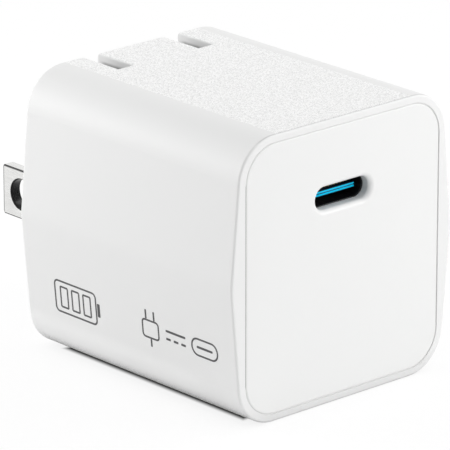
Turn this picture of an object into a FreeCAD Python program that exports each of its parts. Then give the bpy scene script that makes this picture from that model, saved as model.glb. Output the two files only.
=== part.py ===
import FreeCAD, Part
import math
import os

# Compact wall charger for laptops: a white cube with one port in its front panel and two
# flat mains blades that fold up into slots in its rear face.
# Frame: X across the front, +Y out of the rear (plug) face, +Z up, all in millimetres.
# Origin: on the rear face, midway between the blades and on their centre line.

V = FreeCAD.Vector

# Housing
depth = 37.4
height = 34.8
ridge_width = 35.0
corner_width = 31.8
corner_radius = 5.4
ridge_radius = 8.0
wall = 1.8
rear_wall = 1.8
front_edge_radius = 0.3
rear_edge_radius = 0.5
slot_edge_radius = 0.2
pocket_wall = 0.9

# Mains blades, of the flat two-blade pattern
blade_spacing = 12.7
blade_thickness = 1.52
blade_width = 6.35
blade_reach = 16.0
blade_hole_radius = 1.95
blade_hole_reach = 12.2
blade_bevel = 0.38
blade_sink = 0.225
tip_margin = 1.1
slot_side_gap = 0.44
slot_back_gap = 0.225
slot_floor_gap = 0.275

# Fold mechanism
axle_radius = 1.25
axle_gap = 0.05
axle_end_gap = 0.2
hub_radius = 1.45
hub_gap = 0.15
cam_crest = 0.2
key_side = 2.0
flange_thickness = 0.9
bearing_gap = 0.25
ear_thickness = 1.8
ear_half_height = 3.0
retainer_thickness = 1.2
retainer_above = 4.0
pocket_gap = 0.2
boss_radius = 1.9
pilot_radius = 0.7
pilot_depth = 4.2
screw_clearance = 0.2
screw_length = 3.6
screw_head_radius = 1.5
screw_head_height = 0.8
screw_cross = 0.9
screw_cross_width = 0.5
leaf_thickness = 0.25
leaf_rise = 0.55
leaf_width = 4.6
leaf_crown = 3.2
leaf_foot = 1.0
contact_thickness = 0.3
contact_width = 1.8
contact_top = 1.6
contact_gap = 0.05
contact_back_gap = 0.175

# Front panel
rim_side = 0.58
rim_top = 0.93
panel_gap = 0.12
panel_thickness = 2.0
panel_edge_radius = 0.2
ledge_thickness = 1.2
ledge_overlap = 1.1

# Port
port_above_blades = 10.95
mouth_radius = 0.6
lip_depth = 1.4
lip_overlap = 0.2
collar_wall = 1.2
collar_length = 1.6
shell_width = 8.94
shell_height = 3.16
shell_wall = 0.3
shell_length = 7.6
shell_gap = 0.08
leg_width = 1.0
leg_end = 0.6
leg_gap = 0.12
tongue_side_gap = 0.825
tongue_thickness = 0.7
tongue_recess = 0.35
tongue_root_thickness = 1.5
tongue_root_length = 2.2
tongue_base_length = 1.0
contact_count = 12
contact_pitch = 0.5
contact_strip = 0.25
contact_raise = 0.06
contact_setback = 0.6

# Boards
board_thickness = 1.0
board_lift = 1.6
board_side_gap = 0.2
board_rear_gap = 1.7
board_front_gap = 0.3
port_board_side_gap = 1.1
port_board_top_gap = 1.6
rail_width = 0.7
lead_radius = 0.25
lead_end = 0.6
hole_gap = 0.1
pin_side = 0.5
pin_count = 8
pin_pitch = 2.54
pin_rise = 2.4

# Heat spreader and insulating sheet, bent over the electronics as an upturned U
spreader_thickness = 0.5
spreader_top_gap = 2.2
spreader_front_gap = 1.2
sheet_thickness = 0.2
spreader_bend = 2.0

# Capacitors, fuse, transformer and choke
part_gap = 0.3
bulk_diameter = 8.0
bulk_length = 21.0
upright_length = 13.6
lead_spacing = 3.5
can_edge = 0.4
groove_radius = 0.3
x_cap_width = 12.0
x_cap_depth = 4.0
x_cap_height = 11.0
y_cap_radius = 3.5
y_cap_thickness = 3.4
fuse_radius = 1.4
fuse_length = 7.0
out_cap_radius = 4.0
out_cap_length = 6.2
out_cap_spacing = 9.0
out_cap_lift = 0.9
transformer_width = 15.0
core_lift = 1.0
core_plate = 2.0
core_leg = 2.0
post_radius = 3.4
spool_gap = 0.1
tube_wall = 0.65
flange_plate = 0.6
foot_depth = 1.0
foot_width = 9.0
tape_thickness = 0.15
tape_width = 6.0
tape_gap = 0.02
choke_radius = 3.6
choke_height = 4.6
choke_hole_radius = 1.6
choke_wire = 0.5
choke_turns = 7
choke_bank = 120
choke_base_height = 0.8

# Chips
chip_height = 1.3
chip_leg_reach = 0.7
chip_leg_width = 0.4
chip_leg_height = 0.2
chip_leg_pitch = 1.27
switch_width = 8.0
switch_depth = 6.0
switch_height = 0.85
controller_width = 3.9
controller_depth = 4.9
controller_setback = 6.0
rectifier_side = 4.6
rectifier_shift = 3.0
rectifier_setback = 6.2
optocoupler_width = 4.4
optocoupler_depth = 3.0
optocoupler_shift = 3.0
optocoupler_setback = 2.0
sync_side = 5.0
sync_height = 0.4
sync_lift = 8.0
pd_side = 4.0
pd_height = 0.8
pd_lift = 13.0
small_length = 1.6
small_width = 0.8
small_height = 0.5
small_columns = 5
small_column_step = 2.3
small_rows = 2
small_row_step = 1.6
small_setback = 1.5

# Places worked out from the sizes above
blade_x = blade_spacing / 2
blade_outer_x = blade_x + blade_thickness / 2
blade_inner_x = blade_x - blade_thickness / 2
pivot_y = -max(blade_width / 2 + blade_sink, rear_wall + hub_gap + hub_radius)
top_z = blade_reach - pivot_y + tip_margin
bottom_z = top_z - height
mid_z = (top_z + bottom_z) / 2
front_y = -depth
slot_width = blade_thickness + 2 * slot_side_gap
slot_back_y = pivot_y - blade_width / 2 - slot_back_gap
slot_floor_z = -(blade_width / 2 + slot_floor_gap)
contact_back_y = pivot_y - blade_width / 2 - contact_gap - contact_thickness
retainer_y = contact_back_y - contact_back_gap
retainer_front_y = retainer_y - retainer_thickness
cam_radius = pivot_y - retainer_y - leaf_rise - contact_gap
pocket_floor_z = retainer_above + pocket_gap
axle_start_x = blade_outer_x + flange_thickness
ear_inner_x = axle_start_x + bearing_gap
ear_outer_x = ear_inner_x + ear_thickness
boss_x = ear_outer_x + boss_radius + part_gap
panel_width = corner_width - 2 * (rim_side + panel_gap)
panel_height = height - 2 * (rim_top + panel_gap)
panel_radius = corner_radius - rim_top - panel_gap
panel_back_y = front_y + panel_thickness
ledge_back_y = panel_back_y + ledge_thickness
port_z = port_above_blades
bore_width = shell_width - 2 * shell_wall
bore_height = shell_height - 2 * shell_wall
shell_front_y = front_y + lip_depth + shell_gap
port_board_y = shell_front_y + shell_length
port_board_back_y = port_board_y + board_thickness
tongue_width = bore_width - 2 * tongue_side_gap
tongue_tip_y = shell_front_y + tongue_recess
tongue_base_y = port_board_y - tongue_base_length
tongue_root_y = tongue_base_y - tongue_root_length
board_bottom_z = bottom_z + wall + board_lift
board_top_z = board_bottom_z + board_thickness
lead_end_z = board_bottom_z - lead_end


def hull_half_width(inset, z):
    """Half the width at height z of the housing's section moved in by inset, corners apart."""
    lean = (ridge_width - corner_width) / height
    return ridge_width / 2 - abs(z - mid_z) * lean - inset * math.hypot(1, lean)


def cavity_half_width(z):
    """Half the width of the room inside the housing at height z, with its rounded corners."""
    bend = corner_radius - wall
    lift = min(z - bottom_z - wall, top_z - wall - z, bend)
    return hull_half_width(wall, z) - bend + math.sqrt(bend ** 2 - (bend - lift) ** 2)


board_half_width = cavity_half_width(board_bottom_z) - board_side_gap
sheet_half_width = board_half_width - spreader_thickness
inner_half_width = sheet_half_width - sheet_thickness
spreader_top_z = top_z - wall - spreader_top_gap
spreader_front_y = port_board_back_y + spreader_front_gap
spreader_rear_y = retainer_front_y - screw_head_height - part_gap
parts_rear_y = retainer_front_y - part_gap
x_cap_front_y = parts_rear_y - x_cap_depth
x_cap_y = parts_rear_y - x_cap_depth / 2
bulk_z = spreader_top_z - spreader_thickness - sheet_thickness - part_gap - bulk_diameter / 2
bulk_rear_y = parts_rear_y - bulk_diameter / 2
bulk_front_y = bulk_rear_y - bulk_diameter - spool_gap
transformer_rear_y = x_cap_front_y - part_gap
transformer_front_y = port_board_back_y + pin_side + part_gap
transformer_depth = transformer_rear_y - transformer_front_y
transformer_y = (transformer_rear_y + transformer_front_y) / 2
transformer_x = inner_half_width - part_gap - transformer_width / 2
core_depth = transformer_depth - 2 * (foot_depth + spool_gap)
core_bottom_z = board_top_z + core_lift
core_top_z = bulk_z - bulk_diameter / 2 - part_gap - tape_thickness
core_mid_z = (core_bottom_z + core_top_z) / 2
spool_low_z = core_bottom_z + core_plate + spool_gap
spool_high_z = core_top_z - core_plate - spool_gap
spool_radius = min(transformer_width / 2 - core_leg, transformer_depth / 2) - spool_gap
tube_radius = post_radius + spool_gap + tube_wall
x_cap_x = transformer_x - transformer_width / 2
bulk_lead_x = -inner_half_width + 2 * part_gap + lead_radius
left_column_x = (bulk_lead_x + lead_radius + x_cap_x) / 2
choke_y = transformer_front_y + choke_radius
choke_low_z = board_top_z + choke_base_height
y_cap_z = bulk_z - bulk_diameter / 2 - 2 * part_gap - y_cap_radius
switch_y = transformer_y - board_thickness


def box(x0, x1, y0, y1, z0, z1):
    """A block between two corners, given in either order along each axis."""
    low = V(min(x0, x1), min(y0, y1), min(z0, z1))
    return Part.makeBox(abs(x1 - x0), abs(y1 - y0), abs(z1 - z0), low)


def rod(radius, start, end):
    """A cylinder between two points on its axis."""
    axis = V(*end) - V(*start)
    return Part.makeCylinder(radius, axis.Length, V(*start), axis)


def rounded_outline(corners, y):
    """A closed wire in the plane at y, through (x, z, radius) corners with tangent arcs."""
    arcs = []
    ends = []
    for i, (x, z, radius) in enumerate(corners):
        here = V(x, y, z)
        after = corners[(i + 1) % len(corners)]
        back = V(corners[i - 1][0], y, corners[i - 1][1]) - here
        ahead = V(after[0], y, after[1]) - here
        back.normalize()
        ahead.normalize()
        half = back.getAngle(ahead) / 2
        bisector = back + ahead
        bisector.normalize()
        first = here + back * (radius / math.tan(half))
        last = here + ahead * (radius / math.tan(half))
        ends.append((first, last))
        if radius > 0:
            middle = here + bisector * (radius / math.sin(half) - radius)
            arcs.append(Part.Arc(first, middle, last).toShape())
    sides = []
    for i in range(len(corners)):
        start, end = ends[i - 1][1], ends[i][0]
        sides.append(Part.LineSegment(start, end).toShape())
    return Part.Wire(Part.__sortEdges__(sides + arcs))


def prism(wire, length):
    """The wire's face, drawn out along Y."""
    return Part.Face(wire).extrude(V(0, length, 0))


def hull_prism(inset, y0, y1):
    """The housing's six-sided section, moved in by inset, from y0 to y1."""
    top, bottom = top_z - inset, bottom_z + inset
    corner = hull_half_width(inset, top)
    ridge = hull_half_width(inset, mid_z)
    bend = corner_radius - inset
    corners = [
        (-corner, bottom, bend),
        (corner, bottom, bend),
        (ridge, mid_z, ridge_radius),
        (corner, top, bend),
        (-corner, top, bend),
        (-ridge, mid_z, ridge_radius),
    ]
    return prism(rounded_outline(corners, y0), y1 - y0)


def rounded_block(width, tall, radius, z, y0, y1):
    """A block with rounded long edges, centred on x = 0 and the given z, from y0 to y1."""
    corners = [
        (-width / 2, z - tall / 2, radius),
        (width / 2, z - tall / 2, radius),
        (width / 2, z + tall / 2, radius),
        (-width / 2, z + tall / 2, radius),
    ]
    return prism(rounded_outline(corners, y0), y1 - y0)


def port_bar(grow, width, tall, y0, y1):
    """A bar with round sides, centred on the port and grown by grow all round, from y0 to y1."""
    r = tall / 2 + grow
    reach = width / 2 + grow - r
    low, high = port_z - r, port_z + r
    edges = [
        Part.LineSegment(V(-reach, y0, low), V(reach, y0, low)).toShape(),
        Part.Arc(V(reach, y0, low), V(reach + r, y0, port_z), V(reach, y0, high)).toShape(),
        Part.LineSegment(V(reach, y0, high), V(-reach, y0, high)).toShape(),
        Part.Arc(V(-reach, y0, high), V(-reach - r, y0, port_z), V(-reach, y0, low)).toShape(),
    ]
    return prism(Part.Wire(edges), y1 - y0)


def edges_where(shape, test):
    """The shape's edges whose ends all pass the test."""
    return [edge for edge in shape.Edges if all(test(end.Point) for end in edge.Vertexes)]


def round_rims(shape, radius):
    """The shape with its circular rims, such as a can's two ends, rounded."""
    rims = [edge for edge in shape.Edges if len(edge.Vertexes) == 1]
    return shape.makeFillet(radius, rims)


def both_sides(make):
    """What make(side) gives for the left, -1, and the right, 1."""
    return [make(-1), make(1)]


# The housing and its front panel


def blade_slot(side):
    """Room for one folded blade, open at the rear face and at the top."""
    x = side * blade_x
    half = slot_width / 2
    return box(x - half, x + half, slot_back_y, 1, slot_floor_z, top_z + 1)


def pocket_walls(side):
    """The closed walls round one slot, above the fold mechanism."""
    x = side * blade_x
    half = slot_width / 2 + pocket_wall
    block = box(x - half, x + half, slot_back_y - pocket_wall, -rear_wall, pocket_floor_z, top_z)
    return block.common(hull_prism(wall / 2, front_y, 0))


def bearing_ear(side):
    """A post with a U-shaped seat, open to the front, for one end of the axle."""
    ear = box(side * ear_inner_x, side * ear_outer_x, retainer_y, -rear_wall,
              -ear_half_height, ear_half_height)
    seat = axle_radius + axle_gap
    ear = ear.cut(rod(seat, (side * ear_inner_x, pivot_y, 0), (side * ear_outer_x, pivot_y, 0)))
    return ear.cut(box(side * ear_inner_x, side * ear_outer_x, retainer_y, pivot_y, -seat, seat))


def screw_boss(side):
    """A post with a blind hole for one of the retainer's screws."""
    x = side * boss_x
    boss = rod(boss_radius, (x, retainer_y, 0), (x, -rear_wall, 0))
    return boss.cut(rod(pilot_radius, (x, retainer_y, 0), (x, retainer_y + pilot_depth, 0)))


def board_rail(side):
    """A rail that carries one long edge of the main board, low on the side wall."""
    inner = board_half_width - rail_width
    rail = box(side * inner, side * ridge_width, ledge_back_y, -rear_wall, bottom_z, board_bottom_z)
    return rail.common(hull_prism(wall / 2, front_y, 0))


def housing():
    """The one-piece shell: walls, ledge for the panel, blade pockets, ears, bosses and rails."""
    body = hull_prism(0, front_y, 0)
    body = body.makeFillet(front_edge_radius, edges_where(body, lambda p: abs(p.y - front_y) < 1e-3))
    body = body.makeFillet(rear_edge_radius, edges_where(body, lambda p: abs(p.y) < 1e-3))
    cavity = hull_prism(wall, ledge_back_y, -rear_wall)
    recess = rounded_block(panel_width + 2 * panel_gap, panel_height + 2 * panel_gap,
                           panel_radius + panel_gap, mid_z, front_y, panel_back_y)
    mouth = rounded_block(panel_width - 2 * ledge_overlap, panel_height - 2 * ledge_overlap,
                          panel_radius - ledge_overlap, mid_z, panel_back_y, ledge_back_y)
    body = body.cut([cavity, recess, mouth])
    added = both_sides(pocket_walls) + both_sides(bearing_ear)
    added += both_sides(screw_boss) + both_sides(board_rail)
    body = body.fuse(added).cut(both_sides(blade_slot)).removeSplitter()
    rims = []
    for side in (-1, 1):
        for edge in (-1, 1):
            x = side * blade_x + edge * slot_width / 2
            rims += edges_where(body, lambda p: abs(p.x - x) < 1e-3 and p.z > slot_floor_z - 1e-3
                                and (p.z > top_z - 1e-3 or p.y > -rear_edge_radius - 1e-3))
    return body.makeFillet(slot_edge_radius, rims)


def front_panel():
    """The plate that closes the housing, with the port's mouth and a collar behind it."""
    plate = rounded_block(panel_width, panel_height, panel_radius, mid_z, front_y, panel_back_y)
    rim = edges_where(plate, lambda p: abs(p.y - front_y) < 1e-3)
    plate = plate.makeFillet(panel_edge_radius, rim)
    collar_back_y = panel_back_y + collar_length
    collar = port_bar(shell_gap + collar_wall, shell_width, shell_height, panel_back_y, collar_back_y)
    mouth = port_bar(shell_wall - lip_overlap, bore_width, bore_height, front_y, collar_back_y)
    pocket = port_bar(shell_gap, shell_width, shell_height, front_y + lip_depth, collar_back_y)
    panel = plate.fuse(collar).removeSplitter().cut([mouth, pocket])
    reach = shell_width / 2
    lip = edges_where(panel, lambda p: abs(p.y - front_y) < 1e-3 and abs(p.x) < reach
                      and abs(p.z - port_z) < reach)
    return panel.makeFillet(mouth_radius, lip)


# The port


def leg(side, level, grow, y0, y1):
    """One leg of the port's shell, or with grow the slot round it, from y0 to y1."""
    x = side * ((shell_width - shell_height) / 2 - leg_width / 2)
    z = port_z + level * (shell_height - shell_wall) / 2
    wide = leg_width / 2 + grow
    thick = shell_wall / 2 + grow
    return box(x - wide, x + wide, y0, y1, z - thick, z + thick)


def usb_shell():
    """The receptacle's steel tube, with four legs through the port board."""
    outer = port_bar(0, shell_width, shell_height, shell_front_y, port_board_y)
    bore = port_bar(0, bore_width, bore_height, shell_front_y, port_board_y)
    tube = outer.cut(bore)
    lip = edges_where(tube, lambda p: abs(p.y - shell_front_y) < 1e-3)
    tube = tube.makeFillet(shell_wall / 3, lip)
    legs = [leg(side, level, 0, port_board_y - shell_wall, port_board_back_y + leg_end)
            for side in (-1, 1) for level in (-1, 1)]
    return tube.fuse(legs).removeSplitter()


def usb_tongue():
    """The moulded insulator: a thin tongue, its thicker root and the base that fills the shell."""
    half = tongue_width / 2
    thin = tongue_thickness / 2
    thick = tongue_root_thickness / 2
    tongue = box(-half, half, tongue_tip_y, tongue_base_y, port_z - thin, port_z + thin)
    tip = edges_where(tongue, lambda p: abs(p.y - tongue_tip_y) < 1e-3)
    tongue = tongue.makeChamfer(tongue_thickness / 6, tip)
    root = box(-half, half, tongue_root_y, tongue_base_y, port_z - thick, port_z + thick)
    base = port_bar(0, bore_width, bore_height, tongue_base_y, port_board_y)
    return tongue.fuse([root, base]).removeSplitter()


def usb_contacts():
    """Two rows of contact strips, on the tongue's upper and lower faces."""
    strips = []
    for i in range(contact_count):
        x = (i - (contact_count - 1) / 2) * contact_pitch
        for level in (-1, 1):
            z = port_z + level * tongue_thickness / 2
            strips.append(box(x - contact_strip / 2, x + contact_strip / 2, tongue_tip_y + contact_setback,
                              tongue_root_y, z, z + level * contact_raise))
    return Part.makeCompound(strips)


# The folding blades


def blade(side):
    """One blade, deployed: a round root about the pivot, a bevelled tip and a hole near the tip."""
    x = side * blade_x
    half = blade_width / 2
    near, far = x - blade_thickness / 2, x + blade_thickness / 2
    bar = box(near, far, pivot_y, blade_reach, -half, half)
    bar = bar.makeChamfer(blade_bevel, edges_where(bar, lambda p: abs(p.y - blade_reach) < 1e-3))
    root = rod(half, (near, pivot_y, 0), (far, pivot_y, 0))
    hole = rod(blade_hole_radius, (near, blade_hole_reach, 0), (far, blade_hole_reach, 0))
    half_key = key_side / 2
    key = box(near, far, pivot_y - half_key, pivot_y + half_key, -half_key, half_key)
    return bar.fuse(root).removeSplitter().cut([hole, key])


def prong_carrier():
    """The moulded bar that holds both blades, with a cam between them and an axle at each end."""
    hub = rod(hub_radius, (-blade_inner_x, pivot_y, 0), (blade_inner_x, pivot_y, 0))
    cam = rod(cam_radius, (-blade_inner_x, pivot_y, 0), (blade_inner_x, pivot_y, 0))
    flat = cam_radius - cam_crest
    quarter = box(-blade_inner_x, blade_inner_x, pivot_y - flat, pivot_y, 0, flat)
    half_key = key_side / 2
    key = box(-blade_outer_x, blade_outer_x, pivot_y - half_key, pivot_y + half_key, -half_key, half_key)
    ends = []
    for side in (-1, 1):
        seat_x = side * axle_start_x
        tip_x = side * (ear_outer_x - axle_end_gap)
        ends.append(rod(hub_radius, (side * blade_outer_x, pivot_y, 0), (seat_x, pivot_y, 0)))
        ends.append(rod(axle_radius, (seat_x, pivot_y, 0), (tip_x, pivot_y, 0)))
    return hub.fuse([cam.common(quarter), key] + ends).removeSplitter()


def detent_spring():
    """A bowed leaf: its middle bears on the cam's flat and its feet on the retainer."""
    half = leaf_width / 2
    crown = leaf_crown / 2
    front = retainer_y + leaf_rise
    leaf = [box(-half, half, front - leaf_thickness, front, -crown, crown)]
    for level in (-1, 1):
        inner = level * (crown - leaf_thickness)
        toe = level * (crown + leaf_foot)
        leaf.append(box(-half, half, retainer_y, front, level * crown, inner))
        leaf.append(box(-half, half, retainer_y, retainer_y + leaf_thickness, toe, inner))
    return leaf[0].fuse(leaf[1:]).removeSplitter()


def contact_spring(side, grow=0.0, top=contact_top):
    """A strip that bears on a blade's round root and runs down through the main board.

    With grow it is the slot round that strip in the board.
    """
    x = side * blade_x
    half = contact_width / 2 + grow
    return box(x - half, x + half, contact_back_y - grow, contact_back_y + contact_thickness + grow,
               lead_end_z, top)


def pivot_retainer():
    """The plate that closes the axle's seats, with a tongue into each and a hole for each screw."""
    low = board_top_z + part_gap
    half = min(boss_x + boss_radius, cavity_half_width(low) - part_gap)
    plate = box(-half, half, retainer_front_y, retainer_y, low, retainer_above)
    wide = ear_thickness / 2 - axle_gap
    tall = axle_radius - axle_gap
    seat_y = pivot_y - axle_radius - axle_gap
    tongues = []
    holes = []
    for side in (-1, 1):
        x = side * (ear_inner_x + ear_outer_x) / 2
        tongues.append(box(x - wide, x + wide, retainer_y, seat_y, -tall, tall))
        x = side * boss_x
        holes.append(rod(pilot_radius + screw_clearance, (x, retainer_front_y, 0), (x, retainer_y, 0)))
    return plate.fuse(tongues).removeSplitter().cut(holes)


def retainer_screws():
    """Two small pan-head screws, standing in the bosses' holes."""
    screws = []
    top = retainer_front_y - screw_head_height
    for side in (-1, 1):
        x = side * boss_x
        shank = rod(pilot_radius, (x, retainer_front_y, 0), (x, retainer_y + screw_length, 0))
        head = rod(screw_head_radius, (x, top, 0), (x, retainer_front_y, 0))
        head = head.makeFillet(screw_head_height / 2, edges_where(head, lambda p: p.y < top + 1e-3))
        for wide, tall in ((screw_cross, screw_cross_width / 2), (screw_cross_width / 2, screw_cross)):
            head = head.cut(box(x - wide, x + wide, top, top + screw_head_height / 2, -tall, tall))
        screws.append(shank.fuse(head).removeSplitter())
    return Part.makeCompound(screws)


# Boards


lead_places = []


def lead(x, y, top):
    """A wire from below the main board up to top. The board gets a hole for each."""
    lead_places.append((x, y))
    return rod(lead_radius, (x, y, lead_end_z), (x, y, top))


def board_pin(i, grow, top):
    """Pin i of the row that joins the two boards, or with grow the hole round it."""
    x = (i - (pin_count - 1) / 2) * pin_pitch
    wide = pin_side / 2 + grow
    return box(x - wide, x + wide, port_board_back_y - grow, port_board_back_y + pin_side + grow,
               lead_end_z, top)


def main_board():
    """The lower circuit board, which slides in along the side rails, with its drilled holes."""
    board = box(-board_half_width, board_half_width, ledge_back_y + board_front_gap,
                -rear_wall - board_rear_gap, board_bottom_z, board_top_z)
    holes = [rod(lead_radius + hole_gap, (x, y, board_bottom_z), (x, y, board_top_z)) for x, y in lead_places]
    holes += [board_pin(i, hole_gap, board_top_z) for i in range(pin_count)]
    holes += [contact_spring(side, hole_gap, board_top_z) for side in (-1, 1)]
    return board.cut(holes)


def port_board():
    """The upright circuit board behind the front panel, which carries the port."""
    top = top_z - wall - port_board_top_gap
    half = cavity_half_width(top) - port_board_side_gap
    board = box(-half, half, port_board_y, port_board_back_y, board_top_z, top)
    slots = [leg(side, level, leg_gap, port_board_y, port_board_back_y)
             for side in (-1, 1) for level in (-1, 1)]
    return board.cut(slots)


# Capacitors, fuse, transformer and choke, on the main board


def can(radius, start, end):
    """A capacitor's can between two points, with rounded ends and a crimp groove near its start."""
    axis = V(*end) - V(*start)
    axis.normalize()
    groove = Part.makeTorus(radius, groove_radius, V(*start) + axis * radius / 3, axis)
    return round_rims(rod(radius, start, end), can_edge).cut(groove)


def lying_bulk_capacitor(y):
    """A capacitor on its side above the transformer, with two leads down to the board."""
    start = bulk_lead_x + part_gap
    body = can(bulk_diameter / 2, (start, y, bulk_z), (start + bulk_length, y, bulk_z))
    leads = []
    for step in (-1, 1):
        lead_y = y + step * lead_spacing / 2
        bend_x = bulk_lead_x - lead_radius
        leads.append(lead(bulk_lead_x, lead_y, bulk_z))
        leads.append(rod(lead_radius, (bend_x, lead_y, bulk_z), (start + can_edge, lead_y, bulk_z)))
    return body.fuse(leads)


def upright_bulk_capacitor():
    """A capacitor that stands on the board beside the transformer."""
    x, y = left_column_x, bulk_rear_y
    body = can(bulk_diameter / 2, (x, y, board_top_z), (x, y, board_top_z + upright_length))
    leads = [lead(x + side * lead_spacing / 2, y, board_top_z + can_edge) for side in (-1, 1)]
    return body.fuse(leads)


def y_capacitor():
    """A disc capacitor on two leads, standing over the choke."""
    x = left_column_x
    y0 = transformer_front_y
    disc = rod(y_cap_radius, (x, y0, y_cap_z), (x, y0 + y_cap_thickness, y_cap_z))
    disc = round_rims(disc, y_cap_thickness / 3)
    y = y0 + y_cap_thickness / 2
    reach = y_cap_radius + lead_radius
    end = reach + lead_radius
    leads = [rod(lead_radius, (x - end, y, y_cap_z), (x + end, y, y_cap_z))]
    leads += [lead(x + side * reach, y, y_cap_z) for side in (-1, 1)]
    return disc.fuse(leads).removeSplitter()


def x_capacitor():
    """The boxed mains filter capacitor, on edge behind the transformer."""
    top = board_top_z + x_cap_height
    body = box(x_cap_x, x_cap_x + x_cap_width, x_cap_front_y, parts_rear_y, board_top_z, top)
    body = body.makeFillet(can_edge, edges_where(body, lambda p: p.z > top - 1e-3))
    inset = can_edge + lead_radius
    places = (x_cap_x + inset, x_cap_x + x_cap_width - inset)
    leads = [lead(x, x_cap_y, board_top_z + can_edge) for x in places]
    return body.fuse(leads).removeSplitter()


def fuse():
    """An upright wire-ended fuse beside the filter capacitor."""
    x = x_cap_x + x_cap_width + part_gap + fuse_radius
    z = board_top_z + part_gap
    body = round_rims(rod(fuse_radius, (x, x_cap_y, z), (x, x_cap_y, z + fuse_length)), can_edge)
    return body.fuse(lead(x, x_cap_y, z + fuse_length + lead_end)).removeSplitter()


def core_half(plate_z, z0, z1):
    """Half of the ferrite core from z0 to z1: a plate at plate_z, two legs and half the round post."""
    half_w, half_d = transformer_width / 2, core_depth / 2
    x, y = transformer_x, transformer_y
    core = [rod(post_radius, (x, y, z0), (x, y, z1))]
    for side in (-1, 1):
        outer = x + side * half_w
        core.append(box(outer, outer - side * core_leg, y - half_d, y + half_d, z0, z1))
    plate = box(x - half_w, x + half_w, y - half_d, y + half_d, plate_z, plate_z + core_plate)
    return plate.fuse(core).removeSplitter()


def transformer_spool():
    """The moulded spool on the core's post, with a foot at each end that stands on the board."""
    x, y = transformer_x, transformer_y
    low_top, high_bottom = spool_low_z + flange_plate, spool_high_z - flange_plate
    spool = rod(tube_radius, (x, y, spool_low_z), (x, y, spool_high_z))
    added = [rod(spool_radius, (x, y, spool_low_z), (x, y, low_top))]
    added.append(rod(spool_radius, (x, y, high_bottom), (x, y, spool_high_z)))
    added.append(box(x - foot_width / 4, x + foot_width / 4, transformer_front_y, transformer_rear_y,
                     spool_low_z, low_top))
    for side in (-1, 1):
        inner = y + side * (core_depth / 2 + spool_gap)
        outer = y + side * transformer_depth / 2
        added.append(box(x - foot_width / 2, x + foot_width / 2, inner, outer, board_top_z, low_top))
    bore = rod(post_radius + spool_gap, (x, y, spool_low_z), (x, y, spool_high_z))
    return spool.fuse(added).removeSplitter().cut(bore)


def transformer_winding():
    """The taped winding, as one ring on the spool."""
    x, y = transformer_x, transformer_y
    z0, z1 = spool_low_z + flange_plate, spool_high_z - flange_plate
    ring = rod(spool_radius - spool_gap, (x, y, z0), (x, y, z1))
    return ring.cut(rod(tube_radius + tape_gap, (x, y, z0), (x, y, z1)))


def transformer_tape():
    """The band of tape that holds the core's halves together."""
    x, y = transformer_x, transformer_y
    bands = []
    for grow in (tape_gap + tape_thickness, tape_gap):
        reach = transformer_width / 2 + grow
        bands.append(box(x - reach, x + reach, y - tape_width / 2, y + tape_width / 2,
                         core_bottom_z - grow, core_top_z + grow))
    return bands[0].cut(bands[1])


def choke_base():
    """The small plate under the common-mode choke."""
    return rod(choke_radius, (left_column_x, choke_y, board_top_z), (left_column_x, choke_y, choke_low_z))


def choke_core():
    """The choke's ferrite ring, inside its windings."""
    x, y = left_column_x, choke_y
    z0, z1 = choke_low_z + choke_wire, choke_low_z + choke_height - choke_wire
    hole = math.hypot(choke_hole_radius + choke_wire, choke_wire / 2)
    ring = rod(choke_radius - choke_wire, (x, y, z0), (x, y, z1))
    return ring.cut(rod(hole, (x, y, z0), (x, y, z1)))


def choke_winding():
    """Two banks of square-cornered wire turns round the ring."""
    outside = box(choke_hole_radius, choke_radius, -choke_wire / 2, choke_wire / 2, 0, choke_height)
    inside = box(choke_hole_radius + choke_wire, choke_radius - choke_wire, -choke_wire, choke_wire,
                 choke_wire, choke_height - choke_wire)
    turns = []
    for bank in (0, 180):
        for i in range(choke_turns):
            turn = outside.cut(inside)
            turn.rotate(V(0, 0, 0), V(0, 0, 1), bank + choke_bank * (i / (choke_turns - 1) - 0.5))
            turn.translate(V(left_column_x, choke_y, choke_low_z))
            turns.append(turn)
    return Part.makeCompound(turns)


# Chips below the main board


def hanging_chip(x, y, wide, deep, tall):
    """A flat chip soldered to the board's lower face, centred on x and y."""
    return box(x - wide / 2, x + wide / 2, y - deep / 2, y + deep / 2, board_bottom_z - tall, board_bottom_z)


def legged_chip(x, y, wide, deep, legs):
    """A hanging chip with flat legs along two sides."""
    chip = hanging_chip(x, y, wide, deep, chip_height)
    feet = []
    for side in (-1, 1):
        leg_x = x + side * (wide + chip_leg_reach) / 2
        for i in range(legs):
            leg_y = y + (i - (legs - 1) / 2) * chip_leg_pitch
            feet.append(hanging_chip(leg_x, leg_y, chip_leg_reach, chip_leg_width, chip_leg_height))
    return chip.fuse(feet).removeSplitter()


def thermal_pad():
    """The soft pad between the power switch and the housing's floor."""
    half_w, half_d = switch_width / 2, switch_depth / 2
    return box(transformer_x - half_w, transformer_x + half_w, switch_y - half_d, switch_y + half_d,
               bottom_z + wall, board_bottom_z - switch_height)


def small_parts():
    """The two-ended resistors and capacitors near the board's front edge."""
    chips = []
    for row in range(small_rows):
        for column in range(small_columns):
            x = left_column_x + column * small_column_step
            y = port_board_y - small_setback - row * small_row_step
            chips.append(hanging_chip(x, y, small_length, small_width, small_height))
    return Part.makeCompound(chips)


# Components on the port board


def output_capacitor(side):
    """A polymer capacitor that lies on the front of the port board, below the port."""
    x = side * out_cap_spacing / 2
    z = board_top_z + out_cap_lift + out_cap_radius
    return can(out_cap_radius, (x, port_board_y, z), (x, port_board_y - out_cap_length, z))


def port_board_chip(x, z, side, face, tall):
    """A square chip on the port board's face at y = face, centred on x and z."""
    return box(x - side / 2, x + side / 2, face, face + tall, z - side / 2, z + side / 2)


# Heat spreader and sheet


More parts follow.
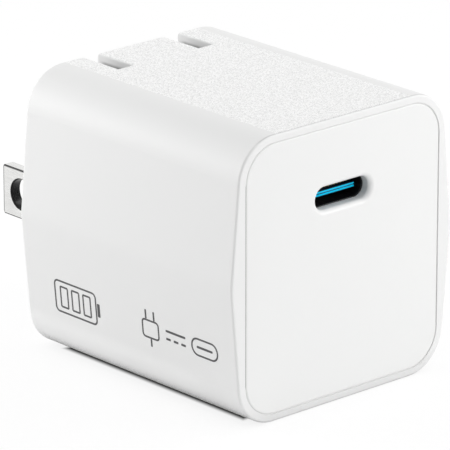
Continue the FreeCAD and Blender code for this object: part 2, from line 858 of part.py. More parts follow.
def upturned_u(half, top, thickness, bend):
    """A sheet bent over the electronics: two sides that stand on the board, and a top."""
    outlines = []
    for inset in (0, thickness):
        corners = [
            (-half + inset, board_top_z, 0),
            (half - inset, board_top_z, 0),
            (half - inset, top - inset, bend - inset),
            (-half + inset, top - inset, bend - inset),
        ]
        outlines.append(rounded_outline(corners, spreader_front_y))
    length = spreader_rear_y - spreader_front_y
    return prism(outlines[0], length).cut(prism(outlines[1], length))


nodes = {
    "housing": housing(),
    "front_panel": front_panel(),
    "usb_shell": usb_shell(),
    "usb_tongue": usb_tongue(),
    "usb_contacts": usb_contacts(),
    "left_blade": blade(-1),
    "right_blade": blade(1),
    "prong_carrier": prong_carrier(),
    "detent_spring": detent_spring(),
    "left_contact_spring": contact_spring(-1),
    "right_contact_spring": contact_spring(1),
    "pivot_retainer": pivot_retainer(),
    "retainer_screws": retainer_screws(),
    "port_board": port_board(),
    "board_pins": Part.makeCompound([board_pin(i, 0.0, board_top_z + pin_rise) for i in range(pin_count)]),
    "bulk_capacitor_rear": lying_bulk_capacitor(bulk_rear_y),
    "bulk_capacitor_front": lying_bulk_capacitor(bulk_front_y),
    "bulk_capacitor_upright": upright_bulk_capacitor(),
    "y_capacitor": y_capacitor(),
    "x_capacitor": x_capacitor(),
    "fuse": fuse(),
    "transformer_core_lower": core_half(core_bottom_z, core_bottom_z, core_mid_z),
    "transformer_core_upper": core_half(core_top_z - core_plate, core_mid_z, core_top_z),
    "transformer_spool": transformer_spool(),
    "transformer_winding": transformer_winding(),
    "transformer_tape": transformer_tape(),
    "choke_base": choke_base(),
    "choke_core": choke_core(),
    "choke_winding": choke_winding(),
    "power_switch": hanging_chip(transformer_x, switch_y, switch_width, switch_depth, switch_height),
    "thermal_pad": thermal_pad(),
    "primary_controller": legged_chip(left_column_x, bulk_rear_y - controller_setback,
                                      controller_width, controller_depth, 4),
    "bridge_rectifier": legged_chip(transformer_x - rectifier_shift, switch_y + rectifier_setback,
                                    rectifier_side, rectifier_side, 2),
    "optocoupler": legged_chip(transformer_x + optocoupler_shift, port_board_y - optocoupler_setback,
                               optocoupler_width, optocoupler_depth, 2),
    "small_parts": small_parts(),
    "output_capacitor_left": output_capacitor(-1),
    "output_capacitor_right": output_capacitor(1),
    "sync_rectifier": port_board_chip(transformer_x, board_top_z + sync_lift, sync_side,
                                      port_board_back_y, sync_height),
    "pd_controller": port_board_chip(left_column_x, board_top_z + pd_lift, pd_side,
                                     port_board_y, -pd_height),
    "heat_spreader": upturned_u(board_half_width, spreader_top_z, spreader_thickness, spreader_bend),
    "insulating_sheet": upturned_u(sheet_half_width, spreader_top_z - spreader_thickness, sheet_thickness,
                                   spreader_bend - spreader_thickness),
}
nodes["main_board"] = main_board()

os.makedirs("parts", exist_ok=True)
for name, shape in nodes.items():
    shape.exportStep(f"parts/{name}.step")
    print(f"{name}: {len(shape.Solids)} solid(s), {shape.Volume:.2f} mm3, valid {shape.isValid()}")
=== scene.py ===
# %% [markdown]
# # A compact wall charger, finished in Blender
#
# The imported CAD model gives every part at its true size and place. This lesson loads it, remakes the few
# parts whose look depends on fine rounded edges, adds the printed pictograms, gives each part a finish of
# its own, and lights the whole as a catalogue does: white plastic on a white floor.

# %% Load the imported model
import bpy
import math
from mathutils import Matrix, Vector


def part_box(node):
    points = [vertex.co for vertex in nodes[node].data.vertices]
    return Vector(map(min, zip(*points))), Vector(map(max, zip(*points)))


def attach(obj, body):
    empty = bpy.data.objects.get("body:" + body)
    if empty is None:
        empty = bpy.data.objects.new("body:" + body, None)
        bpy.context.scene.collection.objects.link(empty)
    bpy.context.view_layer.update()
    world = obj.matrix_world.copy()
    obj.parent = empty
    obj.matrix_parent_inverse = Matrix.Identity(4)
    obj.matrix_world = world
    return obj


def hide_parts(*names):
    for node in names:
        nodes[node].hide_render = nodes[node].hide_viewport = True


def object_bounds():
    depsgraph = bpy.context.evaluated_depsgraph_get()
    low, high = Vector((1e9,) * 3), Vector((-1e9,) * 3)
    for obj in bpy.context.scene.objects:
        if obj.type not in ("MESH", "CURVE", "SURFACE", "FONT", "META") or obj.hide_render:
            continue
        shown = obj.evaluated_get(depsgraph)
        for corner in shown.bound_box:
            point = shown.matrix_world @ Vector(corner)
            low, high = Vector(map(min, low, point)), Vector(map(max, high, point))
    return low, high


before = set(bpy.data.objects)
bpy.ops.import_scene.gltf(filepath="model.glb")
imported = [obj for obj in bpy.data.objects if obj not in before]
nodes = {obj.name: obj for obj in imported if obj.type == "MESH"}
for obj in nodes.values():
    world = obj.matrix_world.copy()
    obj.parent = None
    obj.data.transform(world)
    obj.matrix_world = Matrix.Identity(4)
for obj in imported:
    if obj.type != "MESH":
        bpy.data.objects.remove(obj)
cad_low, cad_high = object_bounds()
MM = 0.001

# %% [markdown]
# ## Helpers for modelling by hand
#
# Blender's operators act on whatever is selected, and the loaded parts come in selected. So each new piece
# starts with nothing selected, and each step in edit mode first picks its points, edges or faces by where
# they are. Applying the transform straight away leaves every piece's place in its mesh.

# %% Start a piece and pick parts of it
def start(name, add, scale=(1, 1, 1), **place):
    """Adds a primitive and returns its object, with its place and its scale in its mesh."""
    bpy.ops.object.select_all(action="DESELECT")
    add(**place)
    piece = bpy.context.object
    piece.name = name
    piece.scale = scale
    bpy.ops.object.transform_apply(location=True, rotation=True, scale=True)
    return piece


def pick(piece, kind, test):
    """Enters edit mode with the VERT, EDGE or FACE items selected whose points pass the test."""
    bpy.context.view_layer.objects.active = piece
    bpy.ops.object.mode_set(mode="EDIT")
    bpy.ops.mesh.select_mode(type=kind)
    bpy.ops.mesh.select_all(action="DESELECT")
    bpy.ops.object.mode_set(mode="OBJECT")
    points = piece.data.vertices
    if kind == "VERT":
        for point in points:
            point.select = test([point.co])
    else:
        for item in piece.data.edges if kind == "EDGE" else piece.data.polygons:
            item.select = test([points[i].co for i in item.vertices])
    bpy.ops.object.mode_set(mode="EDIT")


def leave_edit():
    """Turns all faces outwards and goes back to object mode."""
    bpy.ops.mesh.select_all(action="SELECT")
    bpy.ops.mesh.remove_doubles(threshold=0.002 * MM)
    bpy.ops.mesh.normals_make_consistent(inside=False)
    bpy.ops.object.mode_set(mode="OBJECT")


print("helpers for edit mode ready")


# %% Apply modifiers, ease edges and join pieces
def apply_modifier(piece, kind, **settings):
    """Adds a modifier with these settings and applies it."""
    modifier = piece.modifiers.new(kind.lower(), kind)
    for key, value in settings.items():
        setattr(modifier, key, value)
    bpy.context.view_layer.objects.active = piece
    bpy.ops.object.modifier_apply(modifier=modifier.name)


def combine(piece, tool, operation):
    """Adds the tool's shape to the piece (UNION) or takes it away (DIFFERENCE)."""
    apply_modifier(piece, "BOOLEAN", object=tool, operation=operation, solver="EXACT")
    bpy.data.objects.remove(tool)


def ease_edges(piece, width, segments=3):
    """Rounds every sharp edge a little, and shades the piece smooth between flat faces."""
    apply_modifier(piece, "BEVEL", width=width, segments=segments, limit_method="ANGLE",
                   angle_limit=math.radians(35), harden_normals=False)
    bpy.ops.object.select_all(action="DESELECT")
    piece.select_set(True)
    bpy.context.view_layer.objects.active = piece
    bpy.ops.object.shade_smooth_by_angle(angle=math.radians(35))
    apply_modifier(piece, "WEIGHTED_NORMAL", keep_sharp=True, weight=100)


def join(pieces, name):
    """Joins pieces into the first one, under a new name."""
    bpy.ops.object.select_all(action="DESELECT")
    for piece in pieces:
        piece.select_set(True)
    bpy.context.view_layer.objects.active = pieces[0]
    bpy.ops.object.join()
    pieces[0].name = name
    return pieces[0]


print("helpers for object mode ready")

# %% [markdown]
# ## The mains blades
#
# A blade is stamped from nickel-plated brass strip. The press leaves its edges slightly rounded, and the tip
# is rounded all round so that it finds the outlet. The CAD blade has the right outline with sharp edges,
# so this one starts as a flat sheet of the same outline: the sheet is drawn out to the blade's thickness,
# the four edges of the tip are rounded, the hole is drilled and all edges are eased.

# %% Model one blade from its CAD box
tip_round = 0.6 * MM
blade_edge = 0.18 * MM
hole_radius = 1.95 * MM
hole_from_tip = 3.8 * MM
key_side = 2.0 * MM


def blade(name):
    """A stamped blade that stands for the CAD node of that name."""
    low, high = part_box(name)
    middle = (low + high) / 2
    thickness = high.x - low.x
    root_radius = (high.z - low.z) / 2
    piece = start(name + "_stamped", bpy.ops.mesh.primitive_plane_add, size=1,
                  location=(low.x, middle.y, middle.z), rotation=(0, math.pi / 2, 0),
                  scale=(high.z - low.z, high.y - low.y, 1))
    pick(piece, "VERT", lambda ends: ends[0].y < middle.y)
    bpy.ops.mesh.bevel(offset=root_radius * 0.999, segments=24, affect="VERTICES")
    bpy.ops.mesh.select_all(action="SELECT")
    bpy.ops.mesh.extrude_region_move(TRANSFORM_OT_translate={"value": (thickness, 0, 0)})
    leave_edit()
    pick(piece, "EDGE", lambda ends: all(p.y > high.y - tip_round for p in ends))
    bpy.ops.mesh.bevel(offset=tip_round, segments=7, affect="EDGES")
    leave_edit()
    drill = start("drill", bpy.ops.mesh.primitive_cylinder_add, vertices=72, radius=hole_radius,
                  depth=4 * thickness, location=(middle.x, high.y - hole_from_tip, middle.z),
                  rotation=(0, math.pi / 2, 0))
    combine(piece, drill, "DIFFERENCE")
    punch = start("punch", bpy.ops.mesh.primitive_cube_add, size=key_side,
                  location=(middle.x, low.y + root_radius, middle.z), scale=(4, 1, 1))
    combine(piece, punch, "DIFFERENCE")
    ease_edges(piece, blade_edge)
    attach(piece, "prongs")
    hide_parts(name)
    return piece


blades = [blade("left_blade"), blade("right_blade")]
print("blade faces:", [len(piece.data.polygons) for piece in blades])

# %% [markdown]
# ## The port's tongue
#
# The tongue inside the port is two layers of moulded plastic round a steel plate, which shows as a fine line
# in the tongue's tip. A groove cut between two bisecting planes gives that line, and the plate is a
# piece of its own in the groove. Behind the tongue come a thicker root and a base that fills the shell.

# %% Read the port's place and sizes
plate_gap = 0.14 * MM
groove_depth = 0.16 * MM
tongue_thickness = 0.7 * MM
tongue_bevel = 0.07 * MM
tongue_corner = 0.12 * MM
root_thickness = 1.5 * MM
tongue_inset = 0.825 * MM
base_length = 1.0 * MM
root_length = 2.2 * MM

base_low, base_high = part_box("usb_tongue")
port_x = (base_low.x + base_high.x) / 2
port_z = (base_low.z + base_high.z) / 2
tongue_half = (base_high.x - base_low.x) / 2 - tongue_inset
base_y = base_high.y - base_length


def block(name, half_width, y0, y1, tall):
    """A block centred on the port, from y0 to y1."""
    return start(name, bpy.ops.mesh.primitive_cube_add, size=1,
                 location=(port_x, (y0 + y1) / 2, port_z), scale=(2 * half_width, y1 - y0, tall))


print("the port's centre is at", round(port_x / MM, 2), round(port_z / MM, 2), "mm")


# %% Model the two-layer tongue
def tongue():
    """The moulded insulator, which stands for the CAD tongue."""
    piece = block("port_tongue", tongue_half, base_low.y, base_y, tongue_thickness)
    pick(piece, "EDGE", lambda ends: all(p.y < base_low.y + MM / 10 for p in ends)
         and abs(ends[0].x - ends[1].x) < MM / 10)
    bpy.ops.mesh.bevel(offset=tongue_corner, segments=4, affect="EDGES")
    leave_edit()
    pick(piece, "EDGE", lambda ends: all(p.y < base_low.y + tongue_corner + MM / 100 for p in ends)
         and abs(ends[0].z - ends[1].z) < MM / 10)
    bpy.ops.mesh.bevel(offset=tongue_bevel, segments=2, affect="EDGES")
    for side in (-1, 1):
        bpy.ops.mesh.select_all(action="SELECT")
        bpy.ops.mesh.bisect(plane_co=(0, 0, port_z + side * plate_gap / 2), plane_no=(0, 0, 1))
    leave_edit()
    pick(piece, "FACE", lambda ends: all(abs(p.z - port_z) < plate_gap * 0.6 for p in ends)
         and not all(p.y > base_y - MM / 10 for p in ends))
    bpy.ops.mesh.extrude_region_shrink_fatten(TRANSFORM_OT_shrink_fatten={"value": -groove_depth})
    leave_edit()
    combine(piece, block("root", tongue_half, base_y - root_length, base_y, root_thickness), "UNION")
    tall = base_high.z - base_low.z
    base = block("base", (base_high.x - base_low.x) / 2, base_y, base_high.y, tall)
    pick(base, "EDGE", lambda ends: abs(ends[0].y - ends[1].y) > base_length / 2)
    bpy.ops.mesh.bevel(offset=tall / 2 * 0.999, segments=16, affect="EDGES")
    leave_edit()
    combine(piece, base, "UNION")
    ease_edges(piece, 0.03 * MM, 2)
    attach(piece, "charger")
    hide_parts("usb_tongue")
    return piece


port_tongue = tongue()
print("tongue faces:", len(port_tongue.data.polygons))

# %% [markdown]
# The steel plate and the contacts are small, but the camera looks straight at them through the mouth. The
# plate is a block whose two front corners are rounded like the tongue's. One contact strip is modelled with
# a rounded nose, and two array modifiers repeat it: twelve across at the port's half-millimetre pitch, and
# the same again on the lower face.

# %% Model the steel plate
plate_corner = 0.1 * MM


def tongue_plate():
    """The steel plate in the tongue's groove."""
    inset = groove_depth * 0.45
    piece = block("port_tongue_plate", tongue_half - inset, base_low.y + inset,
                  base_y - root_length, plate_gap * 0.96)
    pick(piece, "EDGE", lambda ends: all(p.y < base_low.y + MM / 10 for p in ends)
         and abs(ends[0].x - ends[1].x) < MM / 10)
    bpy.ops.mesh.bevel(offset=plate_corner, segments=4, affect="EDGES")
    leave_edit()
    ease_edges(piece, 0.02 * MM, 2)
    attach(piece, "charger")
    return piece


plate = tongue_plate()
print("plate:", [round(side / MM, 2) for side in plate.dimensions], "mm")

# %% Model the contacts
contact_pitch = 0.5 * MM
contact_width = 0.25 * MM
contact_count = 12


def contacts():
    """Both rows of contact strips, which stand for the CAD contacts."""
    low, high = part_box("usb_contacts")
    raised = (high.z - low.z - tongue_thickness) / 2
    first_x = port_x - (contact_count - 1) / 2 * contact_pitch
    piece = start("port_contacts", bpy.ops.mesh.primitive_cube_add, size=1,
                  location=(first_x, (low.y + high.y) / 2, high.z - raised / 2),
                  scale=(contact_width, high.y - low.y, raised))
    pick(piece, "EDGE", lambda ends: all(p.y < low.y + MM / 10 for p in ends)
         and abs(ends[0].z - ends[1].z) > raised / 2)
    bpy.ops.mesh.bevel(offset=contact_width * 0.45, segments=5, affect="EDGES")
    leave_edit()
    apply_modifier(piece, "ARRAY", count=contact_count, use_relative_offset=False, use_constant_offset=True,
                   constant_offset_displace=(contact_pitch, 0, 0))
    apply_modifier(piece, "ARRAY", count=2, use_relative_offset=False, use_constant_offset=True,
                   constant_offset_displace=(0, 0, -(tongue_thickness + raised)))
    ease_edges(piece, 0.012 * MM, 2)
    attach(piece, "charger")
    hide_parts("usb_contacts")
    return piece


port_contacts = contacts()
print("contact faces:", len(port_contacts.data.polygons))

# %% [markdown]
# ## The weld round the panel
#
# The panel is welded into the housing, and the joint shows as a fine groove with a bead of the same plastic
# a little way down. The CAD gap runs the panel's full depth, which would look like a black slit. So the
# bead is a ring as wide as the gap: a sheet with rounded corners whose middle is inset and deleted.

# %% Model the bead in the gap
panel_gap = 0.12 * MM
panel_corner = 4.35 * MM
bead_depth = 0.16 * MM
bead_thickness = 0.5 * MM


def weld_bead():
    """A thin ring of plastic that fills the gap round the panel behind its front edge."""
    low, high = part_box("front_panel")
    middle = (low + high) / 2
    front = low.y + bead_depth
    piece = start("panel_weld_bead", bpy.ops.mesh.primitive_plane_add, size=1,
                  location=(middle.x, front, middle.z), rotation=(math.pi / 2, 0, 0),
                  scale=(high.x - low.x + 2 * panel_gap, high.z - low.z + 2 * panel_gap, 1))
    bpy.ops.object.mode_set(mode="EDIT")
    bpy.ops.mesh.select_all(action="SELECT")
    bpy.ops.mesh.bevel(offset=panel_corner + panel_gap, segments=32, affect="VERTICES")
    bpy.ops.mesh.select_mode(type="FACE")
    bpy.ops.mesh.select_all(action="SELECT")
    bpy.ops.mesh.inset(thickness=panel_gap, depth=0)
    bpy.ops.mesh.delete(type="FACE")
    bpy.ops.mesh.select_all(action="SELECT")
    bpy.ops.mesh.extrude_region_move(TRANSFORM_OT_translate={"value": (0, bead_thickness, 0)})
    leave_edit()
    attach(piece, "charger")
    return piece


bead = weld_bead()
print("bead:", [round(side / MM, 2) for side in bead.dimensions], "mm")

# %% [markdown]
# ## The printed pictograms
#
# Grey pictograms are pad-printed low on the left side: a battery near the plug, and a plug, a direct-current
# sign and a port near the front. Ink lies on the surface as a thin layer, so each figure is a flat shape
# a fiftieth of a millimetre thick. Frames start as a rounded sheet whose middle is inset and deleted. The
# figures are drawn flat at the origin, then laid on the slanted side, whose plane is read from the housing.

# %% Find the side's lower facet
housing = nodes["housing"]
facet = max((face for face in housing.data.polygons if face.normal.x < -0.9 and face.normal.z < -0.01),
            key=lambda face: face.area)
out = facet.normal.copy()
across = Vector((0, -1, 0))
up = out.cross(across).normalized()
print("the facet leans", round(math.degrees(math.asin(-out.z)), 2), "degrees")


def on_facet(y, z):
    """The transform that lays a flat figure on the facet, centred at this y and z."""
    x = facet.center.x - (z - facet.center.z) * out.z / out.x
    axes = Matrix((across, up, out)).transposed().to_4x4()
    return Matrix.Translation((x, y, z)) @ axes


# %% Draw frames and bars of ink
ink_stroke = 0.22 * MM
ink_height = 0.02 * MM
ink_sink = 0.006 * MM


def ink_shape(width, tall, radius, x=0.0, y=0.0, hollow=True):
    """A rounded rectangle of ink: a frame of one stroke's width, or a filled bar."""
    piece = start("ink", bpy.ops.mesh.primitive_plane_add, size=1, location=(x, y, -ink_sink),
                  scale=(width, tall, 1))
    bpy.ops.object.mode_set(mode="EDIT")
    bpy.ops.mesh.select_all(action="SELECT")
    bpy.ops.mesh.bevel(offset=radius, segments=8, affect="VERTICES")
    bpy.ops.mesh.select_mode(type="FACE")
    bpy.ops.mesh.select_all(action="SELECT")
    if hollow:
        bpy.ops.mesh.inset(thickness=ink_stroke, depth=0)
        bpy.ops.mesh.delete(type="FACE")
    bpy.ops.mesh.select_all(action="SELECT")
    bpy.ops.mesh.extrude_region_move(TRANSFORM_OT_translate={"value": (0, 0, ink_height + ink_sink)})
    leave_edit()
    return piece


def lay(shapes, name, y, z):
    """Joins a figure's shapes and lays it on the facet."""
    figure = join(shapes, name)
    figure.matrix_world = on_facet(y, z)
    bpy.ops.object.transform_apply(location=True, rotation=True, scale=True)
    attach(figure, "charger")
    return figure


print("ink", ink_height / MM, "mm thick")

# %% Print the four figures
dash = 0.1 * MM
front_marks_z = -5.5 * MM


def battery():
    """A lying battery with three bars of charge."""
    shapes = [ink_shape(7.6 * MM, 4.2 * MM, 0.7 * MM)]
    shapes.append(ink_shape(0.45 * MM, 1.7 * MM, dash, x=4.15 * MM, hollow=False))
    for step in (-1, 0, 1):
        shapes.append(ink_shape(1.5 * MM, 2.8 * MM, 0.25 * MM, x=step * 2.05 * MM))
    return lay(shapes, "mark_battery", -9.2 * MM, -5.8 * MM)


def plug():
    """A plug seen from the side: a body, two blades and its tail."""
    shapes = [ink_shape(3.0 * MM, 2.4 * MM, 0.55 * MM, y=-0.1 * MM)]
    for side in (-1, 1):
        shapes.append(ink_shape(0.26 * MM, 1.2 * MM, dash, x=side * 0.7 * MM, y=1.7 * MM, hollow=False))
    shapes.append(ink_shape(0.26 * MM, 1.0 * MM, dash, y=-1.8 * MM, hollow=False))
    return lay(shapes, "mark_plug", -22.6 * MM, front_marks_z)


def direct_current():
    """The sign for direct current: a bar over three dashes."""
    shapes = [ink_shape(3.4 * MM, 0.28 * MM, dash, y=0.5 * MM, hollow=False)]
    for step in (-1, 0, 1):
        shapes.append(ink_shape(0.78 * MM, 0.28 * MM, dash, x=step * 1.31 * MM, y=-0.5 * MM, hollow=False))
    return lay(shapes, "mark_direct_current", -27.0 * MM, front_marks_z)


def port():
    """The port's mouth, with the tongue in its middle."""
    shapes = [ink_shape(4.6 * MM, 2.3 * MM, 1.1 * MM)]
    shapes.append(ink_shape(2.7 * MM, 0.28 * MM, dash, hollow=False))
    return lay(shapes, "mark_port", -32.0 * MM, front_marks_z)


marks = [battery(), plug(), direct_current(), port()]
print("figures:", [mark.name for mark in marks])

# %% [markdown]
# ## Finishes
#
# A finish is a Principled shader whose colour, roughness and normal all follow the same fine pattern, so a
# grain that catches the light is also a little duller. Painted maps could do this too, but a pattern on
# Object coordinates is measured in millimetres, needs no unwrapping and stays sharp from close by. Patterns
# that many finishes share are node groups. One gives rounded grains, which a stretch draws out into brushed
# lines, and a second turns a pattern into a tint.

# %% Add nodes and feed them
def feed(tree, socket, value):
    """Links an output to the socket, or sets the socket's own number."""
    if isinstance(value, bpy.types.NodeSocket):
        tree.links.new(value, socket)
    else:
        socket.default_value = value


def add(tree, kind, settings=None, **inputs):
    """Adds a node with these settings and feeds its inputs by name."""
    made = tree.nodes.new(kind)
    for key, value in (settings or {}).items():
        setattr(made, key, value)
    for key, value in inputs.items():
        feed(tree, made.inputs[key.replace("_", " ")], value)
    return made


def maths(tree, operation, *values):
    """One step of arithmetic."""
    made = add(tree, "ShaderNodeMath", {"operation": operation})
    for socket, value in zip(made.inputs, values):
        feed(tree, socket, value)
    return made.outputs[0]


print("node helpers ready")


# %% Make masks, blend colours and read positions
def ramp(tree, value, start_at, end_at):
    """0 where value is at start_at, 1 at end_at, smooth between, in either order."""
    made = add(tree, "ShaderNodeMapRange", {"interpolation_type": "SMOOTHSTEP"})
    low, high = min(start_at, end_at), max(start_at, end_at)
    feed(tree, made.inputs["Value"], value)
    made.inputs["From Min"].default_value = low
    made.inputs["From Max"].default_value = high
    made.inputs["To Min"].default_value = float(start_at > end_at)
    made.inputs["To Max"].default_value = float(start_at < end_at)
    return made.outputs[0]


def blend_colours(tree, factor, first, second):
    """The first colour where factor is 0 and the second where it is 1."""
    made = add(tree, "ShaderNodeMix", {"data_type": "RGBA"})
    feed(tree, made.inputs[0], factor)
    feed(tree, made.inputs[6], first)
    feed(tree, made.inputs[7], second)
    return made.outputs[2]


def position(tree):
    """The X, Y and Z of a point of the piece, in metres."""
    coordinates = add(tree, "ShaderNodeTexCoord").outputs["Object"]
    return add(tree, "ShaderNodeSeparateXYZ", Vector=coordinates).outputs


print("mask helpers ready")

# %% Build the grain group
def new_group(name, inputs, outputs):
    """An empty group with float sockets, and colour sockets where a name starts with Colour."""
    group = bpy.data.node_groups.new(name, "ShaderNodeTree")
    for names, in_out in ((inputs, "INPUT"), (outputs, "OUTPUT")):
        for each in names:
            kind = "NodeSocketColor" if each.startswith("Colour") else "NodeSocketFloat"
            if each == "Stretch":
                kind = "NodeSocketVector"
            group.interface.new_socket(each, in_out=in_out, socket_type=kind)
    return group, group.nodes.new("NodeGroupInput"), group.nodes.new("NodeGroupOutput")


def grain_group():
    """Rounded grains of the given size in millimetres: Height for a bump, Tone for colour and gloss."""
    group, given, result = new_group("mould_grain", ["Size", "Stretch"], ["Height", "Tone"])
    coordinates = add(group, "ShaderNodeTexCoord").outputs["Object"]
    stretched = add(group, "ShaderNodeVectorMath", {"operation": "MULTIPLY"})
    feed(group, stretched.inputs[0], coordinates)
    feed(group, stretched.inputs[1], given.outputs["Stretch"])
    scale = maths(group, "DIVIDE", 1000.0, given.outputs["Size"])
    fine = add(group, "ShaderNodeTexNoise", Vector=stretched.outputs[0], Scale=scale, Detail=2.0,
               Roughness=0.55)
    broad = add(group, "ShaderNodeTexNoise", Vector=stretched.outputs[0],
                Scale=maths(group, "MULTIPLY", scale, 0.37), Detail=1.0, Roughness=0.5)
    height = maths(group, "ADD", maths(group, "MULTIPLY", fine.outputs[0], 0.7),
                   maths(group, "MULTIPLY", broad.outputs[0], 0.3))
    feed(group, result.inputs["Height"], height)
    feed(group, result.inputs["Tone"], ramp(group, height, 0.42, 0.58))
    return group


mould_grain = grain_group()
print("group:", mould_grain.name)


# %% Build the tint group
def tint_group():
    """Makes a colour lighter where Tone is high and darker where it is low, by Amount."""
    group, given, result = new_group("tint", ["Colour", "Tone", "Amount"], ["Colour out"])
    swing = maths(group, "MULTIPLY", maths(group, "SUBTRACT", given.outputs["Tone"], 0.5),
                  given.outputs["Amount"])
    scaled = add(group, "ShaderNodeVectorMath", {"operation": "SCALE"})
    feed(group, scaled.inputs[0], given.outputs["Colour"])
    feed(group, scaled.inputs["Scale"], maths(group, "ADD", 1.0, swing))
    feed(group, result.inputs["Colour out"], scaled.outputs[0])
    return group


tint = tint_group()
print("group:", tint.name)

# %% Place the groups in a material
def grain(tree, size, stretch=(1, 1, 1)):
    """The grain group's outputs at this size in millimetres."""
    made = add(tree, "ShaderNodeGroup", {"node_tree": mould_grain})
    made.inputs["Size"].default_value = size
    made.inputs["Stretch"].default_value = stretch
    return made.outputs


def tinted(tree, colour, tone, amount):
    """The colour, swinging with the tone."""
    made = add(tree, "ShaderNodeGroup", {"node_tree": tint})
    feed(tree, made.inputs["Colour"], colour)
    feed(tree, made.inputs["Tone"], tone)
    feed(tree, made.inputs["Amount"], amount)
    return made.outputs[0]


def new_material(name, colour, **sockets):
    """A material with a Principled shader and these uniform values on it."""
    material = bpy.data.materials.new(name)
    material.use_nodes = True
    material.diffuse_color = (*colour[:3], 1)
    tree = material.node_tree
    shader = tree.nodes["Principled BSDF"]
    for key, value in sockets.items():
        shader.inputs[key.replace("_", " ")].default_value = value
    return material, tree, shader


def bump(tree, shader, height, depth):
    """Raises the surface by depth millimetres where height is 1."""
    made = add(tree, "ShaderNodeBump", Height=height, Distance=depth * MM, Strength=1.0)
    feed(tree, shader.inputs["Normal"], made.outputs[0])


print("material helpers ready")


# %% Build a finish from a colour and a grain
def finish(name, colour, roughness, size=0.3, depth=0.001, swing=0.04, gloss=0.08, stretch=(1, 1, 1),
           pattern=None, **sockets):
    """A finish whose colour, roughness and normal follow one grain. pattern(tree) may give the colour."""
    material, tree, shader = new_material(name, colour, **sockets)
    pattern_grain = grain(tree, size, stretch)
    tone = pattern_grain["Tone"]
    base = pattern(tree) if pattern else (*colour, 1)
    feed(tree, shader.inputs["Base Color"], tinted(tree, base, tone, swing))
    rough = maths(tree, "ADD", roughness - gloss / 2, maths(tree, "MULTIPLY", tone, gloss))
    feed(tree, shader.inputs["Roughness"], rough)
    bump(tree, shader, pattern_grain["Height"], depth)
    return material


def wear(piece, material):
    """Gives a new piece this material."""
    piece.data.materials.clear()
    piece.data.materials.append(material)


def dress(material, *names):
    """Gives CAD nodes this material."""
    for name in names:
        slots = nodes[name].data.materials
        slots.clear()
        slots.append(material)


print("finish helper ready")

# %% [markdown]
# ## White plastic
#
# The housing is one moulding with two textures. Its flat top and underside come from a spark-eroded part of
# the mould, which leaves a coarse sandy grain that stops along a straight line where the corner rounding
# starts; below, it runs a little way up the corners. The sides, the upper corners and the front are satin.
# Sand scatters more light than satin does, so it looks whiter. Separate parts or painted maps could give
# the two textures, but masks made from the position keep the moulding one piece with one material. They
# switch the sand on and paint light and shade: painted light makes the lower sides a little whiter, and
# painted shade makes the underside a little greyer and darkens the depths of the blade slots, a fine line
# along the rim, the wall of the port's mouth behind its rounded lip, and the edges of the panel in their
# groove.

# %% Find the textures and the shaded places of the housing
satin_white = (0.86, 0.861, 0.858)
sandy_white = (0.928, 0.929, 0.926)
# Painted shade: the grey of the slots' depths and of the fine line along the rim.
painted_shade_grey = (0.2, 0.2, 0.2)
# Painted light: the whiter colour of the lower sides, where light from the floor falls.
painted_bounce_white = (0.92, 0.921, 0.918)
# Painted shade: the greyer colour of the underside near the floor.
under_shade_white = (0.81, 0.81, 0.808)
grain_edge = 10.6 * MM
slot_x = (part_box("right_blade")[0].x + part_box("right_blade")[1].x) / 2
slot_half = 1.35 * MM
slot_front_y = -7.1 * MM
slot_low_z = -8.0 * MM
top_z = cad_high.z
bottom_z = cad_low.z


def sandy_part(tree, x, y, z):
    """1 on the flat top and on the underside with its corners, 0 elsewhere."""
    inside = ramp(tree, maths(tree, "ABSOLUTE", x), grain_edge + 0.1 * MM, grain_edge - 0.1 * MM)
    above = maths(tree, "MULTIPLY", inside, ramp(tree, z, top_z - 0.12 * MM, top_z - 0.04 * MM))
    below = maths(tree, "MULTIPLY", ramp(tree, z, bottom_z + 2.8 * MM, bottom_z + 1.2 * MM),
                  ramp(tree, y, cad_low.y + 0.15 * MM, cad_low.y + 0.3 * MM))
    return maths(tree, "MAXIMUM", above, below)


def slot_shade_depth(tree, x, y, z):
    """The mask of the painted shade in the blade slots: 0 outside them, rising to 1 as they deepen."""
    from_middle = maths(tree, "ABSOLUTE", maths(tree, "SUBTRACT", maths(tree, "ABSOLUTE", x), slot_x))
    near = maths(tree, "MULTIPLY", maths(tree, "LESS_THAN", from_middle, slot_half),
                 maths(tree, "GREATER_THAN", y, slot_front_y))
    near = maths(tree, "MULTIPLY", near, maths(tree, "GREATER_THAN", z, slot_low_z))
    deep = maths(tree, "MULTIPLY", ramp(tree, z, top_z - 0.7 * MM, top_z - 1.35 * MM),
                 ramp(tree, y, -0.3 * MM, -1.6 * MM))
    return maths(tree, "MULTIPLY", near, deep)


def rim_shade_line(tree, y, z):
    """A fine painted shade where the grained top meets the rim, fading down the corners."""
    from_line = maths(tree, "ABSOLUTE", maths(tree, "SUBTRACT", y, cad_low.y + 0.14 * MM))
    line = maths(tree, "MULTIPLY", ramp(tree, from_line, 0.1 * MM, 0.02 * MM),
                 ramp(tree, z, top_z - 0.9 * MM, top_z - 0.2 * MM))
    return maths(tree, "MULTIPLY", line, 0.33)


print("the grain ends", round(grain_edge / MM, 1), "mm from the middle")


